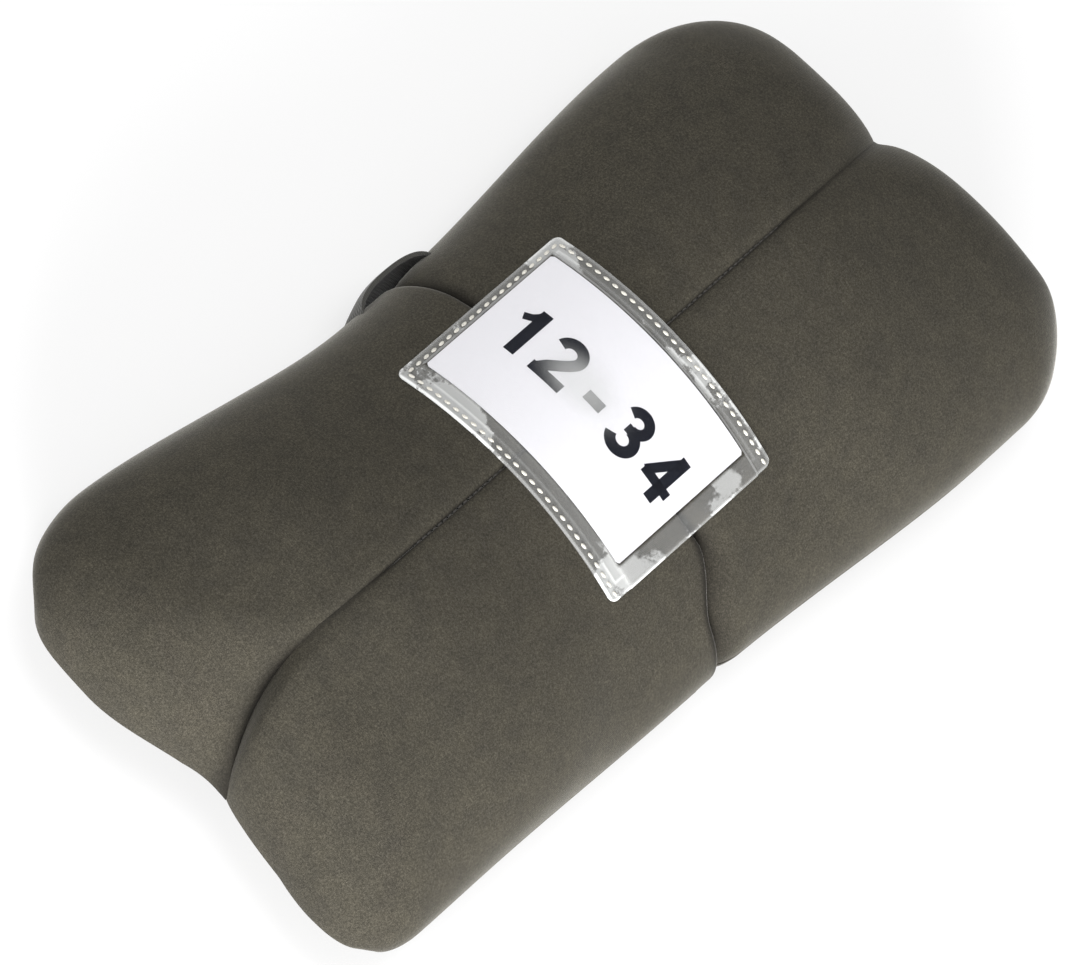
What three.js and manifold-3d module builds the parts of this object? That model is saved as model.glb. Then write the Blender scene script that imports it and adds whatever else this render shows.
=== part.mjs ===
// A padded square protective wrap, folded shut around a soft hollow.
// Millimetres, +Z up, +Y along the bundle, +X across it. The origin is on the surface
// that the wrap lies on, below the middle of the bundle.
// A near-square quilted sheet has both long sides folded under, so that a top panel,
// two rounded sides and two flaps make a flat tube, open at its near and far ends.
// One seam along the bundle and one across it part the padding into quadrants. A strap
// with a hook patch runs from the left side under both flaps, and a clear pocket with
// a card sits on the crossing of the seams.
import * as THREE from 'three';
import * as BufferGeometryUtils from 'three/addons/utils/BufferGeometryUtils.js';
import Module from 'manifold-3d';

const wasm = await Module();
wasm.setup();

// Bundle
const bundleLength = 390;
const lobeNearLeft = 102;
const lobeFarLeft = 92;
const lobeNearRight = 94;
const lobeFarRight = 102;
const waistLeft = 82;
const waistRight = 95;
const waistReach = 135;
const cornerRadius = 38;
const lobeHeight = 55;
const endDroop = 15;
const droopStart = 105;
const restDepth = 22;
const roundness = 2.15;
const endRounding = 38;
const endEdge = 4.2;

// Hollow between the top panel and the flaps
const hollowAtEnds = 3.2;
const hollowBulgeDown = 8;
const hollowBulgeUp = 16;
const hollowReach = 172;

// Layers
const coverThickness = 1.5;
const liningThickness = 1.2;
const gap = 0.3;

// Folds
const foldX = 74;
const foldZ = 10;
const sideEndInset = 12;
const cornerBend = 0.74;
const cornerLift = 0.6;
const cornerNotchStart = 0.4;
const cornerNotchEnd = 1.6;

// Seams
const seamX = -7;
const flapMeetingX = 6;
const seamDepth = 2.6;
const seamSpread = 5;
const seamEndDepth = 11;
const seamEndReach = 46;
const sideCrease = 1.5;

// Clear pocket and card
const pocketRadius = 130;
const pocketCrown = 53.5;
const pocketWidth = 112;
const pocketLength = 88;
const pocketFade = 52;
const cardWidth = 94;
const cardLength = 65;
const cardThickness = 0.4;
const cardPlay = 0.35;
const vinylThickness = 0.65;
const cutMargin = 1;

// Strap
const strapWidth = 38;
const strapThickness = 1.8;
const strapEndX = 50;
const channelDepth = 4.6;
const channelFade = 21;
const hookThickness = 1.3;
const hookInset = 4;
const hookStart = 14;
const sewnRise = 9.7;
const strapStepStart = -18;
const tongueCorner = 7;

const half = bundleLength / 2;
const pocketTop = pocketCrown - pocketRadius;
const strapReach = strapWidth / 2;
const channelHalf = strapReach + 2;

const clothColour = 0x4d483e;
const materials = {
  cover: new THREE.MeshStandardMaterial({ color: clothColour, roughness: 0.95, metalness: 0 }),
  foam: new THREE.MeshStandardMaterial({ color: 0xb9b4a4, roughness: 0.9, metalness: 0 }),
  lining: new THREE.MeshStandardMaterial({ color: 0x2c2b29, roughness: 0.95, metalness: 0 }),
  vinyl: new THREE.MeshStandardMaterial({
    color: 0xdfe3e2, roughness: 0.12, metalness: 0, transparent: true, opacity: 0.35,
  }),
  card: new THREE.MeshStandardMaterial({ color: 0xf2f3f7, roughness: 0.6, metalness: 0 }),
  webbing: new THREE.MeshStandardMaterial({ color: 0x24241f, roughness: 0.85, metalness: 0 }),
  hook: new THREE.MeshStandardMaterial({ color: 0x191917, roughness: 0.9, metalness: 0 }),
};

const model = new THREE.Group();

function addPiece(name, geometry, material) {
  const mesh = new THREE.Mesh(geometry, material);
  mesh.name = name;
  model.add(mesh);
}

function smooth(from, to, value) {
  return THREE.MathUtils.smoothstep(value, from, to);
}

// A rounded hump: 1 at the middle, 0 at a share of 1, blunt or pointed by the roundness.
function hump(share) {
  const inside = Math.max(0, 1 - Math.min(1, Math.abs(share)) ** roundness);
  return inside ** (1 / roundness);
}

// A sewn crease: 1 on the stitch line, fading to both sides.
function crease(distance, spread) {
  return Math.exp(-Math.abs(distance) / spread);
}

// The distance from the middle to one side at a place along the bundle: drawn in at the
// waist, most on the strap's side, as wide as its lobe towards the end and rounded there.
function halfWidth(y, side) {
  const along = Math.abs(y);
  const waist = side < 0 ? waistLeft : waistRight;
  const nearLobe = side < 0 ? lobeNearLeft : lobeNearRight;
  const farLobe = side < 0 ? lobeFarLeft : lobeFarRight;
  const lobe = y < 0 ? nearLobe : farLobe;
  const drawn = THREE.MathUtils.lerp(waist, lobe, smooth(0, waistReach, along));
  const past = Math.max(0, along - (half - cornerRadius));
  const corner = cornerRadius - Math.sqrt(Math.max(0, cornerRadius ** 2 - past ** 2));
  return drawn - corner - sideCrease * crease(y, seamSpread);
}

// The hollow's height above the middle plane (up = 1) or depth below it (up = -1).
function hollowHeight(y, up) {
  const share = Math.min(1, Math.abs(y) / hollowReach);
  const bulge = up > 0 ? hollowBulgeUp : hollowBulgeDown;
  return hollowAtEnds + bulge * Math.cos(share * Math.PI / 2) ** 2;
}

// How much of a layer's thickness is left as its end turns down.
function endShare(y) {
  const past = Math.max(0, Math.abs(y) - (half - endRounding)) / endRounding;
  return Math.sqrt(Math.max(0, 1 - past ** 2));
}

// The outer face's height from the middle plane, without the folded-under sides' own cuts.
// Near the waist it is the arc that the pocket follows, and at the lobes a fuller hump.
function envelope(x, y) {
  const along = Math.abs(y);
  const arc = pocketTop + Math.sqrt(pocketRadius ** 2 - x ** 2);
  const crown = lobeHeight - endDroop * smooth(droopStart, half, along);
  const lobe = crown * hump(x / halfWidth(y, x));
  const start = pocketLength / 2 + gap;
  const height = THREE.MathUtils.lerp(arc, lobe, smooth(start, start + pocketFade, along));
  return height - seamDepth * crease(y, seamSpread);
}

function closeEnd(height, y, up) {
  const hollow = hollowHeight(y, up);
  return hollow + Math.max(endEdge, (height - hollow) * endShare(y));
}

// The long seam is shallow along the bundle and sinks between the lobes at both ends.
function topHeight(x, y) {
  const toEnd = smooth(half - seamEndReach, half, Math.abs(y));
  const depth = seamDepth + seamEndDepth * toEnd;
  const spread = seamSpread * (1 + toEnd);
  return closeEnd(envelope(x, y) - depth * crease(x - seamX, spread), y, 1);
}

// The flaps are pressed flat where they lie, with a channel for the strap at the waist.
function flapHeight(x, y) {
  const channel = channelDepth * (1 - smooth(channelHalf, channelHalf + channelFade, Math.abs(y)));
  const edge = seamDepth * crease(x - flapMeetingX, seamSpread);
  return closeEnd(Math.min(envelope(x, y) - edge, restDepth - channel), y, -1);
}

// The side's outer face, as a distance from the long middle plane.
function sideReach(z, y, side) {
  return halfWidth(y, side) * hump(z / envelope(0, y));
}

// A slab between two faces. Each face gives [x, z] for a place along the bundle and a
// share from 0 to 1 across it.
function slab(places, shares, lower, upper) {
  const positions = [];
  const rows = places.length;
  const columns = shares.length;
  for (const face of [lower, upper]) {
    for (const y of places) {
      for (const share of shares) {
        const [x, z] = face(y, share);
        positions.push(x, y, z);
      }
    }
  }
  const at = (side, row, column) => (side * rows + row) * columns + column;
  const indices = [];
  const quad = (a, b, c, d) => indices.push(a, b, c, a, c, d);
  for (let row = 0; row < rows - 1; row += 1) {
    for (let column = 0; column < columns - 1; column += 1) {
      quad(at(1, row, column), at(1, row, column + 1), at(1, row + 1, column + 1), at(1, row + 1, column));
      quad(at(0, row, column), at(0, row + 1, column), at(0, row + 1, column + 1), at(0, row, column + 1));
    }
    quad(at(0, row, 0), at(1, row, 0), at(1, row + 1, 0), at(0, row + 1, 0));
    const last = columns - 1;
    quad(at(0, row, last), at(0, row + 1, last), at(1, row + 1, last), at(1, row, last));
  }
  for (let column = 0; column < columns - 1; column += 1) {
    const end = rows - 1;
    quad(at(0, 0, column), at(0, 0, column + 1), at(1, 0, column + 1), at(1, 0, column));
    quad(at(0, end, column), at(1, end, column), at(1, end, column + 1), at(0, end, column + 1));
  }
  return facingOut(positions, indices);
}

// Turns the triangles over if they enclose a negative volume.
function facingOut(positions, indices) {
  const corner = new THREE.Vector3();
  const corners = [new THREE.Vector3(), new THREE.Vector3(), new THREE.Vector3()];
  let volume = 0;
  for (let i = 0; i < indices.length; i += 3) {
    corners.forEach((point, k) => point.fromArray(positions, indices[i + k] * 3));
    volume += corners[0].dot(corner.crossVectors(corners[1], corners[2]));
  }
  if (volume < 0) {
    indices.reverse();
  }
  const geometry = new THREE.BufferGeometry();
  geometry.setAttribute('position', new THREE.Float32BufferAttribute(positions, 3));
  geometry.setIndex(indices);
  return geometry;
}

function evenShares(count) {
  return Array.from({ length: count + 1 }, (_, i) => i / count);
}

// Places along one half of the bundle, from the cross seam to the end. They lie closer
// where the seam, the strap's channel and the rounded end bend the faces.
const endSteps = 5;
const midPlaces = [
  gap / 2,
  seamSpread * 0.6,
  seamSpread * 1.8,
  channelHalf,
  channelHalf + channelFade / 2,
  pocketLength / 2 + gap,
  pocketLength / 2 + pocketFade / 2,
  pocketLength / 2 + pocketFade,
  (droopStart + pocketLength / 2 + pocketFade) / 2 + seamSpread * 2,
  half - endRounding - seamEndReach / 2,
];
const endPlaces = evenShares(endSteps).map(
  (share) => half - endRounding + endRounding * Math.sin(share * Math.PI / 2),
);
const halfPlaces = [...midPlaces, ...endPlaces];
const sidePlaces = [
  ...halfPlaces.filter((y) => y < half - sideEndInset),
  half - sideEndInset,
];
const ends = { near: -1, far: 1 };
const sides = { left: -1, right: 1 };

// Shares across a pad: closer together at the sewn edge than at the fold.
const sewnCloseness = 1.5;
const padShares = evenShares(6).map((share) => share ** sewnCloseness);
const sideShares = evenShares(3);

// Where a pad of the top or of a flap runs across the bundle, from its sewn or free edge.
function padX(side, startX, y, share) {
  const outerEdge = Math.min(foldX - gap / 2, halfWidth(y, side) - gap);
  return THREE.MathUtils.lerp(startX + side * gap / 2, side * outerEdge, share);
}

const centreZ = restDepth;

function addLayerPads(layer, startX, height, up) {
  for (const [sideName, side] of Object.entries(sides)) {
    for (const [endName, end] of Object.entries(ends)) {
      const places = halfPlaces.map((y) => end * y);
      const face = (offset) => (y, share) => {
        const x = padX(side, startX, y, share);
        return [x, centreZ + up * (height(x, y) - offset)];
      };
      const foamBase = (y, share) => [
        padX(side, startX, y, share),
        centreZ + up * (hollowHeight(y, up) + liningThickness + gap),
      ];
      const cover = slab(places, padShares, face(coverThickness), face(0));
      const foam = slab(places, padShares, foamBase, face(coverThickness + gap));
      addPiece(`cover_${layer}_${sideName}_${endName}`, cover, materials.cover);
      addPiece(`foam_${layer}_${sideName}_${endName}`, foam, materials.foam);
    }
  }
}

addLayerPads('top', seamX, topHeight, 1);
addLayerPads('flap', flapMeetingX, flapHeight, -1);

// Sides: a cover, foam and lining between the two fold lines of each side.
const sideHalfHeight = foldZ - gap / 2;
const sideInner = foldX + gap / 2;

for (const [sideName, side] of Object.entries(sides)) {
  const level = (share) => THREE.MathUtils.lerp(-sideHalfHeight, sideHalfHeight, share);
  const reach = (offset) => (y, share) => [
    side * (sideReach(level(share), y, side) - offset),
    centreZ + level(share),
  ];
  const wall = (distance) => (y, share) => [side * distance, centreZ + level(share)];
  for (const [endName, end] of Object.entries(ends)) {
    const places = sidePlaces.map((y) => end * y);
    const cover = slab(places, sideShares, reach(coverThickness), reach(0));
    const foam = slab(
      places,
      sideShares,
      wall(sideInner + liningThickness + gap),
      reach(coverThickness + gap),
    );
    addPiece(`cover_side_${sideName}_${endName}`, cover, materials.cover);
    addPiece(`foam_side_${sideName}_${endName}`, foam, materials.foam);
  }
  const reachAlong = half - sideEndInset;
  const lining = slab(
    [-reachAlong, reachAlong],
    [0, 1],
    wall(sideInner),
    wall(sideInner + liningThickness),
  );
  addPiece(`lining_side_${sideName}`, lining, materials.lining);
}

// Linings of the top panel and of each flap, which follow the hollow's height.
const allPlaces = [...halfPlaces.map((y) => -y).reverse(), ...halfPlaces];
const liningEdge = (side) => (y) => side * Math.min(foldX - gap / 2, halfWidth(y, side) - gap);

function addLining(name, startOf, endOf, up) {
  const level = (offset) => (y, share) => [
    THREE.MathUtils.lerp(startOf(y), endOf(y), share),
    centreZ + up * (hollowHeight(y, up) + offset),
  ];
  const lining = slab(allPlaces, [0, 1], level(0), level(liningThickness));
  addPiece(name, lining, materials.lining);
}

addLining('lining_top', liningEdge(-1), liningEdge(1), 1);
addLining('lining_flap_left', liningEdge(-1), () => flapMeetingX - gap / 2, -1);
addLining('lining_flap_right', () => flapMeetingX + gap / 2, liningEdge(1), -1);

// Fold corners: the padding that squashes between the panels as the wrap opens. Each has
// a rounded outer face, and a right-angled inner one that clears both panels.
const cornerShares = evenShares(4);

function cornerFace(side, up, height) {
  return (y, share) => {
    const startX = foldX + gap / 2;
    const startZ = foldZ + gap / 2;
    const top = new THREE.Vector2(startX, height(side * foldX, y));
    const low = new THREE.Vector2(sideReach(startZ, y, side), startZ);
    const bend = new THREE.Vector2(
      THREE.MathUtils.lerp(startX, low.x, cornerBend),
      THREE.MathUtils.lerp(startZ, top.y, cornerLift),
    );
    const point = new THREE.QuadraticBezierCurve(top, bend, low).getPoint(share);
    return [side * point.x, centreZ + up * point.y];
  };
}

function cornerInside(side, up, height) {
  return (y, share) => {
    const startX = foldX + gap / 2;
    const startZ = foldZ + gap / 2;
    const along = THREE.MathUtils.lerp(cornerNotchStart, cornerNotchEnd, share);
    const toTop = Math.max(0, 1 - along);
    const toSide = Math.max(0, along - 1);
    const x = startX + toSide * (sideReach(startZ, y, side) - startX);
    const z = startZ + toTop * (height(side * foldX, y) - startZ);
    return [side * x, centreZ + up * z];
  };
}

for (const [sideName, side] of Object.entries(sides)) {
  for (const [endName, end] of Object.entries(ends)) {
    const places = sidePlaces.map((y) => end * y);
    for (const [layer, up, height] of [['upper', 1, topHeight], ['lower', -1, flapHeight]]) {
      const corner = slab(
        places,
        cornerShares,
        cornerInside(side, up, height),
        cornerFace(side, up, height),
      );
      addPiece(`fold_${layer}_${sideName}_${endName}`, corner, materials.cover);
    }
  }
}

// A curved plate about the pocket's own axis, between two radii, two half angles and
// two places along the bundle.
function arcPlate(inner, outer, fromAngle, toAngle, halfLength) {
  const angle = (share) => THREE.MathUtils.lerp(fromAngle, toAngle, share);
  const face = (radius) => (y, share) => [
    radius * Math.sin(angle(share)),
    centreZ + pocketTop + radius * Math.cos(angle(share)),
  ];
  return slab([-halfLength, halfLength], evenShares(14), face(inner), face(outer));
}

function toSolid(geometry) {
  const bare = geometry.clone();
  bare.deleteAttribute('normal');
  bare.deleteAttribute('uv');
  const merged = BufferGeometryUtils.mergeVertices(bare);
  return new wasm.Manifold(new wasm.Mesh({
    numProp: 3,
    vertProperties: new Float32Array(merged.attributes.position.array),
    triVerts: new Uint32Array(merged.index.array),
  }));
}

function fromSolid(solid) {
  const mesh = solid.getMesh();
  const geometry = new THREE.BufferGeometry();
  geometry.setAttribute('position', new THREE.Float32BufferAttribute(mesh.vertProperties, 3));
  geometry.setIndex(Array.from(mesh.triVerts));
  return geometry;
}

// The pocket is one clear sheet whose border lies on the cover on three sides. The card
// lies under it, and comes out through the right side along the arc.
const cardInner = pocketRadius + gap;
const cardOuter = cardInner + cardThickness;
const sheetInner = cardOuter + cardPlay;
const sheetOuter = sheetInner + vinylThickness;
const cardAngle = Math.asin(cardWidth / 2 / pocketRadius);
const pocketAngle = Math.asin(pocketWidth / 2 / pocketRadius);
const playAngle = cardPlay / pocketRadius;
const cutAngle = cutMargin / pocketRadius;

const sheet = arcPlate(cardInner, sheetOuter, -pocketAngle, pocketAngle, pocketLength / 2);
const recess = arcPlate(
  cardInner - cutMargin,
  sheetInner,
  -cardAngle - playAngle,
  pocketAngle + cutAngle,
  cardLength / 2 + cardPlay,
);
addPiece('pocket_window', fromSolid(toSolid(sheet).subtract(toSolid(recess))), materials.vinyl);
addPiece(
  'id_card',
  arcPlate(cardInner, cardOuter, -cardAngle, cardAngle, cardLength / 2),
  materials.card,
);

// The strap: sewn flat on the left side, clear of it at the near edge where the side stands
// out furthest, turned under the fold, along the left flap and on under the right flap,
// where its end grips by the hook patch.
const strapPlaces = [-strapReach, strapReach];
const strapSideX = sideReach(0, -strapReach, -1) + gap;
const strapCornerX = foldX + gap / 2;

const strapSide = slab(
  strapPlaces,
  [0, 1],
  (y, share) => [-strapSideX, centreZ + THREE.MathUtils.lerp(-sewnRise, sewnRise, share)],
  (y, share) => [
    -strapSideX - strapThickness,
    centreZ + THREE.MathUtils.lerp(-sewnRise, sewnRise, share),
  ],
);
addPiece('strap_side', strapSide, materials.webbing);

function strapUnder(x) {
  return flapHeight(x, strapReach) + gap;
}

// The strap's turn under the left fold, as a curve from the side's plane to the flap's.
function strapTurn(offset) {
  const start = new THREE.Vector2(strapSideX + offset, sewnRise + gap);
  const finish = new THREE.Vector2(strapCornerX, strapUnder(-foldX) + offset);
  const bend = new THREE.Vector2(strapSideX + offset, (start.y + finish.y) / 2 + offset);
  const curve = new THREE.QuadraticBezierCurve(start, bend, finish);
  return (y, share) => {
    const point = curve.getPoint(share);
    return [-point.x, centreZ - point.y];
  };
}

addPiece(
  'strap_turn',
  slab(strapPlaces, evenShares(5), strapTurn(0), strapTurn(strapThickness)),
  materials.webbing,
);

// Under the left flap the strap follows the padding, then steps down to clear the patch.
const strapEndTop = restDepth - channelDepth + 2 * gap + hookThickness;

function strapFlap(offset) {
  return (y, share) => {
    const x = padX(-1, flapMeetingX, y, share);
    const step = smooth(strapStepStart, flapMeetingX, x);
    const depth = THREE.MathUtils.lerp(strapUnder(x), strapEndTop, step);
    return [x, centreZ - depth - offset];
  };
}

addPiece(
  'strap_flap',
  slab(strapPlaces, padShares, strapFlap(0), strapFlap(strapThickness)),
  materials.webbing,
);

// A flat plate with both corners rounded at its free end.
function tonguePlate(fromX, toX, width, cornerSize, thickness, topDepth) {
  const reach = width / 2;
  const outline = new THREE.Shape();
  outline.moveTo(fromX, -reach);
  outline.lineTo(toX - cornerSize, -reach);
  outline.absarc(toX - cornerSize, cornerSize - reach, cornerSize, -Math.PI / 2, 0);
  outline.absarc(toX - cornerSize, reach - cornerSize, cornerSize, 0, Math.PI / 2);
  outline.lineTo(fromX, reach);
  outline.closePath();
  const plate = new THREE.ExtrudeGeometry(outline, {
    depth: thickness, bevelEnabled: false, curveSegments: 5,
  });
  plate.translate(0, 0, centreZ - topDepth - thickness);
  return plate;
}

addPiece(
  'strap_end',
  tonguePlate(flapMeetingX + gap, strapEndX, strapWidth, tongueCorner, strapThickness, strapEndTop),
  materials.webbing,
);
addPiece(
  'hook_patch',
  tonguePlate(
    hookStart,
    strapEndX - hookInset,
    strapWidth - hookInset,
    tongueCorner - hookInset / 2,
    hookThickness,
    strapEndTop - gap - hookThickness,
  ),
  materials.hook,
);

export default model;
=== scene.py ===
"""Quilted square protective wrap, folded shut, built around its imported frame.

Shape functions work in millimetres, with heights measured from the middle plane between
the top panel and the flaps. put_mesh turns them into metres in the frame's coordinates.
"""

import functools
import math
from typing import NamedTuple

import bpy
import numpy as np
from mathutils import Matrix, Vector


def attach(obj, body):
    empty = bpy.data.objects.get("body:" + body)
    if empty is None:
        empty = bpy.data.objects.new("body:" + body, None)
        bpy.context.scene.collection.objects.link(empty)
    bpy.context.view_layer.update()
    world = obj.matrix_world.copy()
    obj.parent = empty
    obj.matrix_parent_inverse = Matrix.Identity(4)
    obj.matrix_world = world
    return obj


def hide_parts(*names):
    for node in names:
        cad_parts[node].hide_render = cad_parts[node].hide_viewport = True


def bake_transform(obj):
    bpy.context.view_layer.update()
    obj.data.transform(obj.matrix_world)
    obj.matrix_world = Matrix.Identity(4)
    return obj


bl_info = {
    "name": "Quilted Square Wrap",
    "version": (1, 0, 0),
    "blender": (4, 5, 0),
    "location": "View3D > Sidebar > Wrap",
    "description": "Builds a padded square wrap, folded shut, around its packed frame",
    "category": "Add Mesh",
}

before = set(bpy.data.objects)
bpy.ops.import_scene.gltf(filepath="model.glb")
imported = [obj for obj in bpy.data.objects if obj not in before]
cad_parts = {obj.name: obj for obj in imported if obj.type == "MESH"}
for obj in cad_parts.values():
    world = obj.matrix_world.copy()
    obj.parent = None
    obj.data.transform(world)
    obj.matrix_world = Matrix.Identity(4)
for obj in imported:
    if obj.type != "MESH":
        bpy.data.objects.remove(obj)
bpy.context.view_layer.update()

MM = 0.001
SIDES = {"left": -1, "right": 1}
ENDS = {"near": -1, "far": 1}
LAYERS = {"upper": 1, "lower": -1}

CENTRE = 22.0  # height of the middle plane
HALF = 195.0  # half the wrap's length
SEAM_X = -7.0  # the long seam on the top
FLAP_X = 6.0  # the line where the flaps meet
HALF_GAP = 0.15  # from that line, or from the cross seam, to the pieces beside it
CROWN = 55.0  # the lobes' height over the middle plane
DROOP = 15.0  # how much lower the lobes are at the ends
WAIST = {-1: 85.2, 1: 95.5}  # half widths at the cross seam
LOBE = {(-1, -1): 101.3, (-1, 1): 94.5, (1, -1): 93.0, (1, 1): 104.0}
LOBE_HALF = 100.0  # half width that the lobe curves are drawn at
LENGTHS = {1: 118.0, -1: 104.0}  # from the sewn edge round to the middle of the side

POCKET_RADIUS = 130.0
POCKET_CROWN = 53.5
ARC_DROP = POCKET_CROWN - POCKET_RADIUS
ARC_END = 62.0  # where the pocket's arc gives way to the side
PLAY = 0.3  # from the cover to what lies on it
CLOTH = POCKET_RADIUS + PLAY
CARD_TOP = POCKET_RADIUS + 0.7
SHEET, GLAZE = 0.35, 0.30  # the clear sheet's inner and outer layer
POCKET_MID, POCKET_HALF = (-1.8, -0.2), (57.4, 44.2)
CARD_MID, CARD_HALF = (-4.2, 0.9), (50.0, 34.6)

LINING_EDGE = 73.85  # where the top's and flaps' linings end
SIDE_LINING = 74.15  # where the sides' linings stand
LINING = 1.2  # their thickness


# ---- sizes and colours a user may change


def length_prop(name, description, default):
    return bpy.props.FloatProperty(
        name=name, description=description, default=default, unit="LENGTH")


def colour_prop(name, description, *default):
    return bpy.props.FloatVectorProperty(
        name=name, description=description, default=default, subtype="COLOR")


def angle_prop(name, description, degrees):
    return bpy.props.FloatProperty(
        name=name, description=description, default=math.radians(degrees), subtype="ANGLE")


class WrapSizes(bpy.types.PropertyGroup):
    """Sizes of the padded wrap."""

    seam_depth: length_prop("Seam depth", "How deep the seams sink along the wrap", 0.0022)
    end_seam_depth: length_prop(
        "End seam depth", "How deep the long seam sinks at the ends", 0.013)
    waist_pinch: length_prop(
        "Waist pinch", "How deep the cross seam sinks at the sides", 0.0150)
    end_round: length_prop(
        "End rounding", "Length over which a lobe's end rounds down", 0.036)
    notch: length_prop("End notch", "How far the ends are drawn in at the long seam", 0.009)
    lip: length_prop("Lip height", "Height of the open ends' lips over the middle", 0.0020)
    stitch_pitch: length_prop("Stitch pitch", "Distance from stitch to stitch", 0.0028)


class WrapColours(bpy.types.PropertyGroup):
    """Colours of the wrap's materials, as linear values."""

    cloth: colour_prop("Cloth", "Brushed knit of the cover", 0.0390, 0.0354, 0.0266)
    cloth_light: colour_prop("Cloth fleck", "Lighter fibres of the cover", 0.066, 0.060, 0.047)
    lining: colour_prop("Lining", "Smooth knit inside", 0.022, 0.021, 0.019)
    webbing: colour_prop("Webbing", "Woven strap", 0.027, 0.026, 0.022)
    thread: colour_prop("Pocket thread", "Off-white thread of the pocket", 0.62, 0.60, 0.54)
    seam_thread: colour_prop("Seam thread", "Dark thread of the seams", 0.030, 0.027, 0.022)
    card: colour_prop("Card", "Card stock", 0.76, 0.76, 0.78)
    figures: colour_prop("Figures", "Printed figures on the card", 0.004, 0.005, 0.009)


class StageSettings(bpy.types.PropertyGroup):
    """Camera and light."""

    azimuth: angle_prop("Azimuth", "Camera's turn round the wrap", 4.93)
    elevation: angle_prop("Elevation", "Camera's height angle", 59.0)
    roll: angle_prop("Roll", "Camera's turn about its line of sight", 42.9)
    distance: length_prop("Distance", "Camera's distance from the wrap", 3.6)
    pixels_per_mm: bpy.props.FloatProperty(
        name="Scale", description="Picture pixels for one millimetre at the wrap",
        default=2.81)
    centre_px: bpy.props.FloatVectorProperty(
        name="Aim", description="Picture place of the aimed-at point", size=2,
        default=(564.4, 447.1))
    light: bpy.props.FloatProperty(
        name="Light", description="Level of the lamps", default=1.0)


def mm(value):
    return value / MM


# ---- shape helpers, in millimetres


def smoothstep(low, high, value):
    """3t^2 - 2t^3, where t runs from 0 at low to 1 at high."""
    t = np.clip((value - low) / (high - low), 0, 1)
    return t * t * (3 - 2 * t)


def lerp(a, b, share):
    return a + (b - a) * share


def quarter_drop(t):
    """How far a quarter of a circle has dropped, where t runs from 0 to 1."""
    return 1 - np.sqrt(np.clip(1 - t**2, 0, 1))


def pillow(distance, reach):
    """One at a seam and zero at reach, along a quarter of a circle, as full cloth meets."""
    return quarter_drop(1 - np.clip(np.abs(distance) / reach, 0, 1))


def corner_cut(x, half, size):
    """The share that a rounded corner takes off: none until half - size, all at half."""
    return quarter_drop(np.clip((np.abs(x) - (half - size)) / size, 0, 1))


def bell(place, middle, width):
    """One at a middle, falling off beside it as a bell curve."""
    return np.exp(-(((place - middle) / width) ** 2))


def filled(height, reach):
    """Zero at no height, and close to one at three times reach."""
    return 1 - np.exp(-np.maximum(height, 0) / reach)


def read_at(where, along, values):
    """The columns of values, known at along, read off at where."""
    return np.stack([np.interp(where, along, column) for column in values.T], 1)


def lengths_along(path):
    steps = np.linalg.norm(np.diff(path, axis=0), axis=1)
    return np.concatenate([[0], np.cumsum(steps)])


def by_length(points, count=400):
    """Resamples a polyline at even shares of its length."""
    steps = np.hypot(*np.diff(points, axis=0).T)
    along = np.concatenate([[0], np.cumsum(steps)]) / steps.sum()
    return read_at(np.linspace(0, 1, count), along, points)


def rounded_quarter(half, crown, roundness):
    """Quarter of a superellipse: (x / half)^p + (h / crown)^p = 1."""
    turn = np.linspace(0, np.pi / 2, 2000)
    power = 2 / roundness
    x, h = half * np.sin(turn) ** power, crown * np.cos(turn) ** power
    return by_length(np.stack([x, h], 1))


def waist_quarter(half):
    """The pocket's arc out to ARC_END, then a cubic curve that turns down at the side."""
    x = np.linspace(0, ARC_END, 400)
    arc = np.stack([x, ARC_DROP + np.sqrt(POCKET_RADIUS**2 - x**2)], 1)
    last = arc[-1]
    slope = -last[0] / (last[1] - ARC_DROP)
    lead = (half - ARC_END) * 0.52
    points = np.array([last, last + [lead, lead * slope], [half, 15], [half, 0]])
    t = np.linspace(0, 1, 400)[1:, None]
    weights = [(1 - t) ** 3, 3 * t * (1 - t) ** 2, 3 * t * t * (1 - t), t**3]
    side = sum(w * p for w, p in zip(weights, points))
    return by_length(np.concatenate([arc, side]))


LOBE_CURVE = rounded_quarter(LOBE_HALF, CROWN, 2.15)
LOW_CURVE = rounded_quarter(LOBE_HALF, 27.0, 2.6)
WAIST_CURVE = {side: waist_quarter(half) for side, half in WAIST.items()}
SHARES = np.linspace(0, 1, len(LOBE_CURVE))
EVEN = np.linspace(0, 1, 96)[None, :]
ACROSS = lerp(EVEN, EVEN**2.2, 0.75)  # from the sewn edge, where they are closer, to the side


def half_width(y, side, end):
    """The side's distance from the middle: drawn in at the waist, most on the left."""
    late = 24 if (side, end) == (-1, -1) else 0
    spread = smoothstep(late, 135 + late, np.abs(y))
    return WAIST[side] + (LOBE[side, end] - WAIST[side]) * spread


def lobe_share(y):
    """Zero where the section follows the pocket's arc, and one at the lobes."""
    return smoothstep(44.3, 96.3, np.abs(y))


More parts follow.
